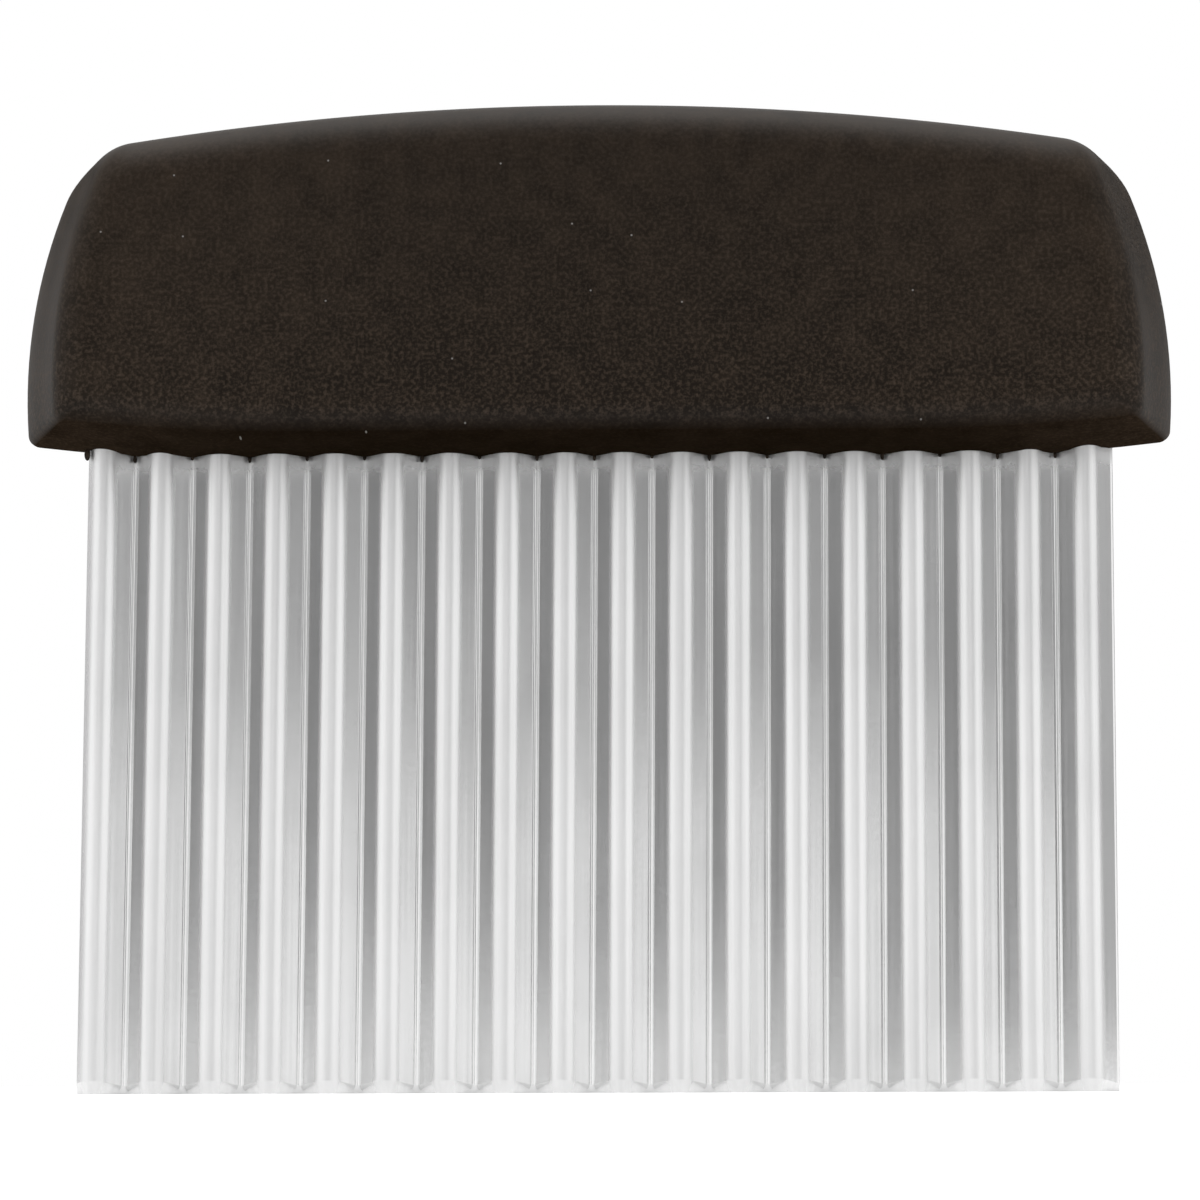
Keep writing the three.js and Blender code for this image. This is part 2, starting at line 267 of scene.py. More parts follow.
def swing(bm, vert, centre, angle, steps):
    """Carries a vertex round a centre, anticlockwise seen from the front, and leaves an arc of edges."""
    arc = bmesh.ops.spin(
        bm, geom=[vert], cent=centre, axis=(0, -1, 0), angle=angle, steps=steps, use_duplicate=False
    )
    return arc["geom_last"][0]


def everything(bm):
    """All elements of a mesh."""
    return bm.verts[:] + bm.edges[:] + bm.faces[:]


def verts_in(geometry):
    """The vertices among an operator's results."""
    return [item for item in geometry if isinstance(item, bmesh.types.BMVert)]


def mirrored(bm, axis):
    """Mirrors the whole mesh on a plane through the origin and welds it there."""
    bmesh.ops.mirror(bm, geom=everything(bm), matrix=Matrix.Identity(4), merge_dist=MERGE, axis=axis)


def body_from(name, bm):
    """Makes an object of a finished bmesh."""
    bmesh.ops.remove_doubles(bm, verts=bm.verts, dist=MERGE)
    bmesh.ops.recalc_face_normals(bm, faces=bm.faces)
    mesh = bpy.data.meshes.new(name)
    bm.to_mesh(mesh)
    bm.free()
    body = bpy.data.objects.new(name, mesh)
    bpy.context.scene.collection.objects.link(body)
    return body


def apply_modifiers(body):
    """Puts the result of a body's modifiers into its mesh."""
    graph = bpy.context.evaluated_depsgraph_get()
    result = bpy.data.meshes.new_from_object(body.evaluated_get(graph))
    if not result.polygons:
        raise RuntimeError(f"nothing is left of {body.name}")
    spent = body.data
    body.modifiers.clear()
    body.data = result
    bpy.data.meshes.remove(spent)
    result.name = body.name


def combine(body, operation, tool):
    """Joins, cuts or trims a body with another one, which is used up."""
    modifier = body.modifiers.new(operation, "BOOLEAN")
    modifier.operation = operation
    modifier.solver = "MANIFOLD"
    modifier.object = tool
    apply_modifiers(body)
    spent = tool.data
    bpy.data.objects.remove(tool)
    bpy.data.meshes.remove(spent)


def drop_flaps(body):
    """Takes out stray pairs of faces that lie back to back on the same corners."""
    bm = bmesh.new()
    bm.from_mesh(body.data)
    found = {}
    for face in bm.faces:
        found.setdefault(frozenset(face.verts), []).append(face)
    flaps = [face for faces in found.values() if len(faces) > 1 for face in faces]
    bmesh.ops.delete(bm, geom=flaps, context="FACES")
    bm.to_mesh(body.data)
    bm.free()


def shade(body, crease):
    """Smooth shading, with edges sharper than the crease kept hard."""
    body.data.shade_smooth()
    body.data.set_sharp_from_angle(angle=math.radians(crease))


def hand_over(body, node, materials):
    """Dresses a piece, puts it on the frame and lets it stand for its node."""
    body.data.materials.clear()
    for material in materials:
        body.data.materials.append(material)
    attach(body, BODY)
    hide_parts(node)


# Pins


def pin_sizes(node):
    """Centre, radius and half length of a pin of the frame."""
    low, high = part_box(node)
    return (low + high) / 2, (high.x - low.x) / 2, (high.y - low.y) / 2


def round_bar(bm, centre, radius, front, rear):
    """Adds a closed round bar along Y."""
    middle = Matrix.Translation((centre.x, (front + rear) / 2, centre.z))
    along_y = Matrix.Rotation(math.pi / 2, 4, "X")
    bmesh.ops.create_cone(
        bm,
        cap_ends=True,
        segments=PIN_SEGMENTS,
        radius1=radius,
        radius2=radius,
        depth=rear - front,
        matrix=middle @ along_y,
    )


def pin_body(name, node):
    """A turned pin with rounded rims."""
    centre, radius, half = pin_sizes(node)
    bm = bmesh.new()
    round_bar(bm, centre, radius, -half, half)
    caps = [face for face in bm.faces if len(face.verts) > 4]
    rims = [edge for edge in bm.edges if any(face in caps for face in edge.link_faces)]
    bmesh.ops.bevel(
        bm,
        geom=rims,
        offset=PIN_RIM,
        offset_type="OFFSET",
        segments=PIN_RIM_STEPS,
        profile=0.5,
        affect="EDGES",
        material=-1,
    )
    return body_from(name, bm)


# Corrugated sheet


def wave_sizes(blade):
    """Bend radii in the middle of the sheet, apex levels of crests and valleys, and the wave's depth."""
    crest = blade.crest_bend + blade.sheet / 2
    valley = blade.valley_bend + blade.sheet / 2
    bends = crest + valley
    sine, cosine = math.sin(blade.flank_angle), math.cos(blade.flank_angle)
    flank = (blade.pitch / 2 - bends * sine) / cosine
    depth = bends * (1 - cosine) + flank * sine
    beyond = 1 / cosine - 1
    return crest, valley, -depth / 2 - crest * beyond, depth / 2 + valley * beyond, depth


def wave_surface(blade, half_width, low, high):
    """Middle surface of the corrugated sheet between two levels, trimmed to a width."""
    crest, valley, crest_y, valley_y, _ = wave_sizes(blade)
    first = -HALF_BLADE + blade.first_valley - blade.pitch
    bm = bmesh.new()
    vert = bm.verts.new((first, valley_y, low))
    while vert.co.x < half_width + blade.pitch / 2:
        at_valley = vert.co.y > 0
        vert = extend(bm, vert, (vert.co.x + blade.pitch / 2, crest_y if at_valley else valley_y, low))
    risen = bmesh.ops.extrude_edge_only(bm, edges=bm.edges[:])["geom"]
    bmesh.ops.translate(bm, verts=verts_in(risen), vec=(0, 0, high - low))
    for level, radius in ((crest_y, crest), (valley_y, valley)):
        ridges = [
            edge
            for edge in bm.edges
            if len(edge.link_faces) == 2 and all(abs(end.co.y - level) < MERGE for end in edge.verts)
        ]
        bmesh.ops.bevel(
            bm,
            geom=ridges,
            offset=radius * math.tan(blade.flank_angle),
            offset_type="OFFSET",
            segments=blade.bend_steps,
            profile=0.5,
            affect="EDGES",
            material=-1,
        )
    for side in (-1, 1):
        bmesh.ops.bisect_plane(
            bm,
            geom=everything(bm),
            plane_co=(side * half_width, 0, 0),
            plane_no=(side, 0, 0),
            clear_outer=True,
        )
    return bm


def thicken(body, thickness, group=None):
    """Gives a sheet its thickness, half to each side of its middle surface."""
    modifier = body.modifiers.new("Sheet", "SOLIDIFY")
    modifier.thickness = thickness
    modifier.offset = 0
    modifier.use_even_offset = True
    modifier.use_quality_normals = True
    if group:
        modifier.vertex_group = group.name
    apply_modifiers(body)


def lean_sheet(mesh, blade):
    """Leans a sheet sideways about the middle of the blade's free height."""
    factor = math.tan(blade.lean)
    back = Matrix.Translation((-factor * UNDERSIDE / 2, 0, 0))
    mesh.transform(back @ Matrix.Shear("XY", 4, (factor, 0)))


def trim_edges(body, half_width):
    """Cuts the side edges of a sheet square."""
    bm = bmesh.new()
    room = Vector((2 * half_width, 4 * FACE_DEPTH, 4 * GRIP_TOP))
    bmesh.ops.create_cube(bm, size=1, matrix=Matrix.Diagonal((*room, 1)))
    combine(body, "INTERSECT", body_from("room", bm))


def blade_body(name, blade, clearance):
    """The sheet with its ground edge and the holes for the tang pins."""
    bm = wave_surface(blade, HALF_BLADE + MARGIN, 0, TANG_TOP)
    tilt = blade.grind_lean
    grind = bmesh.ops.bisect_plane(
        bm,
        geom=everything(bm),
        plane_co=(0, 0, blade.grind_height),
        plane_no=(0, math.sin(tilt), math.cos(tilt)),
    )
    line = verts_in(grind["geom_cut"])
    highest = max(vert.co.z for vert in line)
    for face in bm.faces:
        face.material_index = int(all(vert.co.z <= highest + MERGE for vert in face.verts))
    body = body_from(name, bm)
    group = body.vertex_groups.new(name="thickness")
    for vert in body.data.vertices:
        at_edge = vert.co.z < MERGE
        group.add([vert.index], blade.edge_thickness / blade.sheet if at_edge else 1, "REPLACE")
    thicken(body, blade.sheet, group)
    trim_edges(body, HALF_BLADE)
    lean_sheet(body.data, blade)
    holes = bmesh.new()
    for pin in tang_pins:
        centre, radius, _ = pin_sizes(pin)
        round_bar(holes, centre, radius + clearance, -FACE_DEPTH, FACE_DEPTH)
    combine(body, "DIFFERENCE", body_from("holes", holes))
    return body


# Handle


def edge_run(depth, slope, radius, flat_depth=FACE_DEPTH):
    """How far an edge has come in at a depth: straight from the seam, then round into the flat face."""
    tangent = radius * math.tan((math.pi / 2 - slope) / 2)
    if depth <= flat_depth - tangent * math.cos(slope):
        return depth * math.tan(slope)
    reach = flat_depth * math.tan(slope) + tangent
    past = depth - flat_depth + radius
    return reach - math.sqrt(max(0, radius**2 - past**2))


def crossing(centre_a, radius_a, centre_b, radius_b, along):
    """The crossing of two circles in X and Z that lies furthest along a direction."""
    apart = centre_b - centre_a
    foot = (radius_a**2 - radius_b**2 + apart.length_squared) / (2 * apart.length)
    half = math.sqrt(radius_a**2 - foot**2)
    across = Vector((-apart.z, 0, apart.x)).normalized()
    if across.dot(along) < 0:
        across.negate()
    return centre_a + apart.normalized() * foot + across * half


def heading(centre, place):
    """Angle from a centre to a place, anticlockwise from +X seen from the front."""
    return math.atan2(place.z - centre.z, place.x - centre.x)


def draw_outline(bm, handle, y, half_width, bottom, top, fineness):
    """Right half of the handle's outline at a depth: underside, lift, toe, bowed end, shoulder, crown.

    Returns the edges drawn. The level of the widest point goes down with the height of the outline,
    and the shoulder gets tighter towards the faces.
    """
    share = (top - bottom) / (GRIP_TOP - UNDERSIDE)
    outward = abs(y) / FACE_DEPTH
    shoulder_radius = handle.shoulder_radius * (1 - outward) + handle.face_shoulder_radius * outward
    lift = Vector((half_width - handle.lift_run, y, bottom + handle.lift_radius))
    end = Vector((half_width - handle.end_radius, y, bottom + handle.end_level * share))
    crown = Vector((0, y, top - handle.crown_radius))
    toe = crossing(
        lift,
        handle.lift_radius - handle.toe_radius,
        end,
        handle.end_radius - handle.toe_radius,
        Vector((1, 0, -1)),
    )
    shoulder = crossing(
        end,
        handle.end_radius - shoulder_radius,
        crown,
        handle.crown_radius - shoulder_radius,
        Vector((1, 0, 0)),
    )
    turns = [
        -math.pi / 2,
        heading(lift, toe),
        heading(end, toe),
        heading(end, shoulder),
        heading(crown, shoulder),
        math.pi / 2,
    ]
    first = len(bm.edges)
    vert = bm.verts.new((0, y, bottom))
    vert = extend(bm, vert, (lift.x, y, bottom))
    arcs = zip((lift, toe, end, shoulder, crown), ARC_STEPS)
    for (centre, steps), start, stop in zip(arcs, turns, turns[1:]):
        vert = swing(bm, vert, centre, stop - start, steps * fineness)
    vert.co.x = 0
    bm.edges.ensure_lookup_table()
    return bm.edges[first:]


def lofted_body(name, handle, depth, depth_steps, fineness, sizes_at):
    """A handle form lofted from the seam to both faces, closed by two flat faces."""
    bm = bmesh.new()
    rings = []
    for step in range(depth_steps + 1):
        in_depth = depth * math.sin(step / depth_steps * math.pi / 2)
        rings.append(draw_outline(bm, handle, -in_depth, *sizes_at(in_depth), fineness))
    for near, far in zip(rings, rings[1:]):
        bmesh.ops.bridge_loops(bm, edges=near + far)
    mirrored(bm, "X")
    rim = [
        edge
        for edge in bm.edges
        if len(edge.link_faces) == 1 and all(abs(vert.co.y + depth) < MERGE for vert in edge.verts)
    ]
    face = bmesh.ops.edgeloop_fill(bm, edges=rim)["faces"]
    bmesh.ops.inset_region(bm, faces=face, thickness=FACE_INSET, use_even_offset=True)
    mirrored(bm, "Y")
    return body_from(name, bm)


def grip_form(handle):
    """The whole handle's outside, with the groove along the seam."""
    bow_depth = FACE_DEPTH - handle.end_edge_radius

    def sizes_at(depth):
        groove = max(0, handle.seam_groove - depth)
        inward = min(1, depth / bow_depth)
        bow = handle.end_bow * BOW_PEAK * inward * (1 - inward) ** 2
        return (
            HALF_GRIP - edge_run(depth, handle.end_draft, handle.end_edge_radius) + bow - groove,
            UNDERSIDE + edge_run(depth, handle.underside_slope, handle.face_edge_radius) + groove,
            GRIP_TOP - edge_run(depth, handle.top_slope, handle.top_edge_radius) - groove,
        )

    return lofted_body("grip", handle, FACE_DEPTH, GRIP_RINGS, 2, sizes_at)


def inside_form(handle, inset):
    """The handle's inside above the floor, at a distance below its skin."""
    flat_depth = FACE_DEPTH - inset
    edge_radius = handle.top_edge_radius - inset

    def sizes_at(depth):
        return (
            HALF_GRIP - inset / math.cos(handle.end_draft) - depth * math.tan(handle.end_draft),
            UNDERSIDE + handle.lip_height,
            GRIP_TOP - inset - edge_run(depth, handle.top_slope, edge_radius, flat_depth),
        )

    return lofted_body("inside", handle, flat_depth, INSIDE_RINGS, 1, sizes_at)


def far_side(blade, handle, side):
    """The space of the other shell: past the middle of the sheet along the tang, past the seam above it."""
    bm = wave_surface(blade, HALF_BLADE + handle.slot_gap, UNDERSIDE - MARGIN, TANG_TOP)
    for end in (-1, 1):
        for reach in (HALF_BLADE + MARGIN, HALF_GRIP + MARGIN):
            limit = max(end * vert.co.x for vert in bm.verts)
            upright = [
                edge
                for edge in bm.edges
                if all(abs(end * vert.co.x - limit) < MERGE for vert in edge.verts)
            ]
            grown = verts_in(bmesh.ops.extrude_edge_only(bm, edges=upright)["geom"])
            for vert in grown:
                vert.co.x = end * reach
                vert.co.y = 0
    risen = bmesh.ops.extrude_face_region(bm, geom=bm.faces[:])["geom"]
    bmesh.ops.translate(bm, verts=verts_in(risen), vec=(0, -side * (FACE_DEPTH + 2 * MARGIN), 0))
    lower = body_from("lower", bm)
    lean_sheet(lower.data, blade)
    bm = bmesh.new()
    upper_size = Vector((2 * (HALF_GRIP + MARGIN), FACE_DEPTH + MARGIN, GRIP_TOP + MARGIN - TANG_TOP))
    place = Vector((0, -side * upper_size.y / 2, TANG_TOP + upper_size.z / 2))
    bmesh.ops.create_cube(bm, size=1, matrix=Matrix.Translation(place) @ Matrix.Diagonal((*upper_size, 1)))
    return lower, body_from("upper", bm)


def fittings(blade, handle, side):
    """Rib over the tang and bosses round the pins, before they are trimmed to the inside."""
    depth = wave_sizes(blade)[4]
    bm = bmesh.new()
    rib_low = TANG_TOP + handle.clearance
    rib_half = max(pin_sizes(pin)[0].x + pin_sizes(pin)[1] for pin in closing_pins) + handle.boss_wall
    rib_size = (2 * rib_half, FACE_DEPTH, handle.stop_rib)
    place = Matrix.Translation((0, side * FACE_DEPTH / 2, rib_low + handle.stop_rib / 2))
    bmesh.ops.create_cube(bm, size=1, matrix=place @ Matrix.Diagonal((*rib_size, 1)))
    clear_of_sheet = depth / 2 + blade.sheet / 2 + handle.clearance
    for pins, start in ((tang_pins, clear_of_sheet), (closing_pins, 0)):
        for pin in pins:
            centre, radius, _ = pin_sizes(pin)
            reach = sorted((side * start, side * FACE_DEPTH))
            round_bar(bm, centre, radius + handle.clearance + handle.boss_wall, *reach)
    return body_from("fittings", bm)


def keel(handle):
    """What is cut off the keel of the underside, to leave it flat along the sheet."""
    size = Vector((2 * HALF_GRIP, 2 * FACE_DEPTH, handle.keel_flat + MARGIN))
    place = Matrix.Translation((0, 0, UNDERSIDE + handle.keel_flat - size.z / 2))
    bm = bmesh.new()
    bmesh.ops.create_cube(bm, size=1, matrix=place @ Matrix.Diagonal((*size, 1)))
    return body_from("keel", bm)


def underside_at(handle, x):
    """Level of the handle's underside along the sheet."""
    past = max(0, abs(x) - (HALF_GRIP - handle.lift_run))
    return UNDERSIDE + max(handle.keel_flat, past**2 / (2 * handle.lift_radius))


def flash_and_shade_drips(blade, handle):
    """Small drips under the front lip: dark drips in the valleys, which paint shade in the flutes, and one
    of moulding flash at the left edge.
    """
    valley_front = wave_sizes(blade)[4] / 2 - blade.sheet / 2
    left_edge = -HALF_BLADE + math.tan(blade.lean) * UNDERSIDE / 2
    nub_x = left_edge - NUB_REACH
    drips = [(nub_x, -blade.sheet - handle.nub_width / 2, handle.nub_width, handle.nub_height)]
    # Dark drips in the valleys: painted shade in the flutes.
    x = left_edge + blade.first_valley
    while x < HALF_BLADE:
        y = valley_front - handle.slot_gap - handle.shade_drip_width / 2
        hang = handle.shade_drip_height * (1 + SHADE_DRIP_SPREAD * math.sin(SHADE_DRIP_TURN * len(drips)))
        drips.append((x, y, handle.shade_drip_width, hang))
        x += blade.pitch
    bm = bmesh.new()
    for x, y, width, hang in drips:
        middle = underside_at(handle, x) - DRIP_MIDDLE * hang
        size = Matrix.Diagonal((width / 2, width / 2, (1 - DRIP_MIDDLE) * hang, 1))
        place = Matrix.Translation((x, y, middle))
        bmesh.ops.create_uvsphere(
            bm, u_segments=DRIP_SEGMENTS, v_segments=DRIP_RINGS, radius=1, matrix=place @ size
        )
    return body_from("flash_and_shade_drips", bm)


def shell_body(name, blade, handle, side):
    """One shell of the handle: -1 for the front and 1 for the rear."""
    body = grip_form(handle)
    body.name = name
    for space in far_side(blade, handle, side):
        combine(body, "DIFFERENCE", space)
    combine(body, "DIFFERENCE", inside_form(handle, handle.wall))
    held = fittings(blade, handle, side)
    combine(held, "INTERSECT", inside_form(handle, handle.wall / 2))
    combine(body, "UNION", held)
    slot = body_from("slot", wave_surface(blade, HALF_BLADE + MARGIN, UNDERSIDE - MARGIN, TANG_TOP))
    thicken(slot, blade.sheet + 2 * handle.slot_gap)
    trim_edges(slot, HALF_BLADE + handle.slot_gap)
    lean_sheet(slot.data, blade)
    combine(body, "DIFFERENCE", slot)
    combine(body, "DIFFERENCE", keel(handle))
    if side < 0:
        combine(body, "UNION", flash_and_shade_drips(blade, handle))
    seats = bmesh.new()
    for pin in tang_pins + closing_pins:
        centre, radius, half = pin_sizes(pin)
        reach = half + handle.clearance
        round_bar(seats, centre, radius + handle.clearance, -reach, reach)
    combine(body, "DIFFERENCE", body_from("seats", seats))
    drop_flaps(body)
    return body


# Finishes


class Finish:
    """A material under construction, with short ways to add its nodes."""

    def __init__(self, name):
        self.material = bpy.data.materials.new(name)
        self.material.use_nodes = True
        self.nodes = self.material.node_tree.nodes
        self.links = self.material.node_tree.links
        self.shader = self.nodes["Principled BSDF"]
        coordinates = self.nodes.new("ShaderNodeTexCoord")
        self.place = coordinates.outputs["Object"]
        self.facing = coordinates.outputs["Normal"]

    def add(self, kind, links=None, **values):
        """Adds a node, sets its properties and sockets, and feeds its inputs."""
        node = self.nodes.new(kind)
        for key, value in values.items():
            setattr(node, key, value)
        for key, source in (links or {}).items():
            if isinstance(source, bpy.types.NodeSocket):
                self.links.new(source, node.inputs[key])
            else:
                node.inputs[key].default_value = source
        return node

    def stretched(self, x, y, z):
        """Object coordinates with their own scale on each axis, in features a metre."""
        return self.add("ShaderNodeMapping", {"Vector": self.place, "Scale": (x, y, z)}).outputs["Vector"]

    def noise(self, scale, detail=2, roughness=0.5, place=None):
        links = {"Vector": place or self.place, "Scale": scale, "Detail": detail, "Roughness": roughness}
        return self.add("ShaderNodeTexNoise", links).outputs["Fac"]

    def spread(self, value, low, high, to_low=0.0, to_high=1.0):
        """Maps a range of a value to another range, and clamps it there."""
        links = {"Value": value, "From Min": low, "From Max": high, "To Min": to_low, "To Max": to_high}
        return self.add("ShaderNodeMapRange", links).outputs["Result"]

    def mix(self, share, first, second):
        """Mixes two colours, of which either may be a socket."""
        node = self.add("ShaderNodeMix", {"Factor": share}, data_type="RGBA")
        for key, source in ((6, first), (7, second)):
            if isinstance(source, bpy.types.NodeSocket):
                self.links.new(source, node.inputs[key])
            else:
                node.inputs[key].default_value = (*source, 1)
        return node.outputs[2]

    def math(self, operation, first, second):
        return self.add("ShaderNodeMath", {0: first, 1: second}, operation=operation).outputs["Value"]

    def bump(self, height, distance, strength=1.0, normal=None):
        links = {"Height": height, "Distance": distance, "Strength": strength}
        if normal:
            links["Normal"] = normal
        return self.add("ShaderNodeBump", links).outputs["Normal"]

    def specks(self, scale, radius, rarity):
        """Sparse round specks, seen from the front: 1 inside a speck, 0 elsewhere."""
        turned = self.add("ShaderNodeMapping", {"Vector": self.place, "Rotation": (math.pi / 2, 0, 0)})
        links = {"Vector": turned.outputs["Vector"], "Scale": scale}
        cells = self.add("ShaderNodeTexVoronoi", links, voronoi_dimensions="2D")
        near = self.spread(cells.outputs["Distance"], radius, radius * SPECK_CORE)
        chosen = self.math("GREATER_THAN", cells.outputs["Color"], rarity)
        return self.math("MULTIPLY", near, chosen)

    def drive(self, **sources):
        for key, source in sources.items():
            self.links.new(source, self.shader.inputs[key.replace("_", " ")])


def plastic_finish(finish):
    """Matt moulded plastic: mottled grain and a little lint, with painted light. The grain's pale flecks
    are painted glints that fade towards the top and on downward faces, the faces are painted lighter
    towards the ends, and downward faces are painted darker in the middle and lighter at the ends.
    """
    made = Finish("moulded_plastic")
    grain = made.noise(GRAIN_SCALE, detail=3, roughness=0.65)
    where = made.add("ShaderNodeSeparateXYZ", {"Vector": made.place}).outputs
    facing = made.add("ShaderNodeSeparateXYZ", {"Vector": made.facing}).outputs["Z"]
    # Painted glints: the grain's pale flecks are strongest low down and fade near the top and on downward
    # faces, and so does its bump.
    faint_from = GRIP_TOP - 3 * MM
    full_from = UNDERSIDE + 6 * MM
    depth = made.spread(where["Z"], faint_from, full_from, 0.12, 1)
    below = made.spread(facing, -0.3, -0.8, 1, 0.35)
    strength = made.math("MULTIPLY", depth, below)
    grain_with_painted_glints = made.math("MULTIPLY", made.spread(grain, 0.46, 0.74, -0.2, 0.75), strength)
    cloud = made.noise(PLASTIC_CLOUD_SCALE, detail=3, roughness=0.6)
    cloud = made.spread(cloud, 0.3, 0.7, -0.12, 0.12)
    outward = made.math("ABSOLUTE", where["X"], 0)
    # Painted light: the mean share of the grain, painted lighter towards the ends of the handle.
    base_and_painted_end_light = made.spread(outward, 15 * MM, 52 * MM, 0.2, 0.32)
    # Painted shade and light: downward faces are painted darker under the middle and lighter towards the
    # ends.
    painted_underside_shade_and_light = made.spread(outward, 34 * MM, 54 * MM, 0.45, 1.2)
    shown = made.spread(facing, -0.3, -0.8, 1, painted_underside_shade_and_light)
    # Grain with its painted glints, cloud and painted end light, under the painted shade of downward faces.
    grain_and_painted_light = made.math("ADD", made.math("ADD", grain_with_painted_glints, cloud), base_and_painted_end_light)
    share = made.math("MULTIPLY", grain_and_painted_light, shown)
    colour = made.mix(share, tuple(finish.plastic), tuple(finish.plastic_pale))
    lint = made.specks(LINT_SCALE, radius=0.018, rarity=0.74)
    colour = made.mix(lint, colour, tuple(finish.dust))
    roughness = made.spread(grain, 0.3, 0.7, 0.42, 0.58)
    gloss = made.spread(facing, -0.5, -0.9, 0.14, 0)
    sheen = made.math("MULTIPLY", gloss, made.spread(grain, 0.3, 0.7, 0.7, 1.3))
    made.drive(
        Base_Color=colour,
        Roughness=roughness,
        Specular_IOR_Level=sheen,
        Normal=made.bump(grain, GRAIN_RELIEF, strength),
    )
    return made.material


def steel_finish(finish):
    """Rolled steel sheet: streaks along the corrugations, mottled flanks, scuffed crests, faint stains."""
    made = Finish("rolled_steel")
    streaks = made.noise(1, detail=4, roughness=0.6, place=made.stretched(*STREAK_SCALE))
    mottle = made.noise(MOTTLE_SCALE, detail=2)
    cloud = made.noise(STEEL_CLOUD_SCALE, detail=3)
    stain = made.spread(made.math("ADD", streaks, cloud), 0.9, 1.35)
    colour = made.mix(stain, tuple(finish.steel), tuple(finish.steel_stain))
    where = made.add("ShaderNodeSeparateXYZ", {"Vector": made.place}).outputs
    scuffed = made.spread(where["Y"], -0.6 * MM, -1.3 * MM, 0, 0.26)
    under_lip = made.spread(where["Z"], UNDERSIDE - 3 * MM, UNDERSIDE, 0, 0.65)
    dulled = made.math("POWER", under_lip, 3)
    worn = made.math("MAXIMUM", scuffed, dulled)
    roughness = made.math("ADD", made.spread(streaks, 0.3, 0.7, 0.12, 0.2), worn)
    relief = made.bump(mottle, MOTTLE_RELIEF, normal=made.bump(streaks, STREAK_RELIEF))
    made.drive(Base_Color=colour, Roughness=roughness, Normal=relief)
    made.shader.inputs["Metallic"].default_value = 1
    return made.material


def ground_finish(finish):
    """Freshly ground steel, with fine marks across the band."""
    made = Finish("ground_steel")
    marks = made.noise(1, detail=3, place=made.stretched(*GRIND_SCALE))
    colour = made.mix(made.spread(marks, 0.4, 0.8), tuple(finish.ground_steel), tuple(finish.steel))
    made.drive(
        Base_Color=colour,
        Roughness=made.spread(marks, 0.3, 0.7, 0.3, 0.5),
        Normal=made.bump(marks, GRIND_RELIEF),
    )
    made.shader.inputs["Metallic"].default_value = 1
    return made.material


def pin_finish(finish):
    """Turned steel with fine rings round the pins."""
    made = Finish("turned_steel")
    rings = made.noise(1, detail=2, place=made.stretched(*TURNING_SCALE))
    colour = made.mix(made.spread(rings, 0.3, 0.7), tuple(finish.pin_steel), tuple(finish.steel))
    made.drive(
        Base_Color=colour,
        Roughness=made.spread(rings, 0.3, 0.7, 0.25, 0.4),
        Normal=made.bump(rings, TURNING_RELIEF),
    )
    made.shader.inputs["Metallic"].default_value = 1
    return made.material


# Studio


def shown_to_eye(nodes, links):
    """1 for camera, glossy and transmission rays, 0 for the rays that light the scene."""
    path = nodes.new("ShaderNodeLightPath")
    total = path.outputs["Is Camera Ray"]
    for name in ("Is Glossy Ray", "Is Transmission Ray"):
        either = nodes.new("ShaderNodeMath")
        either.operation = "MAXIMUM"
        links.new(total, either.inputs[0])
        links.new(path.outputs[name], either.inputs[1])
        total = either.outputs["Value"]
    return total


def white_world():
    """A white backdrop all round, which lights the object at a plain level."""
    world = bpy.data.worlds.new("studio")
    world.use_nodes = True
    bpy.context.scene.world = world
    nodes, links = world.node_tree.nodes, world.node_tree.links
    strength = nodes.new("ShaderNodeMapRange")
    links.new(shown_to_eye(nodes, links), strength.inputs["Value"])
    strength.inputs["To Min"].default_value = WORLD_LIGHT
    strength.inputs["To Max"].default_value = WORLD_SHOWN
    background = nodes["Background"]
    background.inputs["Color"].default_value = (1, 1, 1, 1)
    links.new(strength.outputs["Result"], background.inputs["Strength"])


def pale_floor(colour):
    """A wide pale floor that keeps the object's shadow and turns into the white backdrop further out.

    Reflections show more of its plain colour near the tool than the camera sees there.
    """
    bm = bmesh.new()
    bmesh.ops.create_grid(bm, x_segments=1, y_segments=1, size=FLOOR_HALF)
    floor = body_from("floor", bm)
    made = Finish("floor")
    made.shader.inputs["Roughness"].default_value = 0.9
    made.shader.inputs["Specular IOR Level"].default_value = 0
    made.shader.inputs["Emission Color"].default_value = (1, 1, 1, 1)
    distance = made.add("ShaderNodeVectorMath", {0: made.place}, operation="LENGTH").outputs["Value"]
    eye = shown_to_eye(made.nodes, made.links)
    direct = made.add("ShaderNodeLightPath").outputs["Is Camera Ray"]
    start, stop, near = (
        made.spread(direct, 0, 1, in_gloss, seen) for in_gloss, seen in zip(FLOOR_IN_GLOSS, FLOOR_SEEN)
    )
    fade = made.spread(distance, start, stop)
    glow = made.math("MULTIPLY", eye, made.spread(fade, 0, 1, near, 1))
    made.links.new(glow, made.shader.inputs["Emission Strength"])
    shown = made.math("MULTIPLY", eye, fade)
    made.drive(Base_Color=made.mix(shown, colour, (0, 0, 0)))
    floor.data.materials.append(made.material)


def soft_lamp(name, place, target, size, power, in_gloss):
    """A square soft box aimed at a target, which may also show in glossy surfaces."""
    light = bpy.data.lights.new(name, "AREA")
    light.shape = "SQUARE"
    light.size = size
    light.energy = power
    lamp = bpy.data.objects.new(name, light)
    lamp.location = place
    lamp.rotation_euler = (Vector(target) - Vector(place)).to_track_quat("-Z", "Y").to_euler()
    lamp.visible_camera = False
    lamp.visible_glossy = in_gloss
    bpy.context.scene.collection.objects.link(lamp)


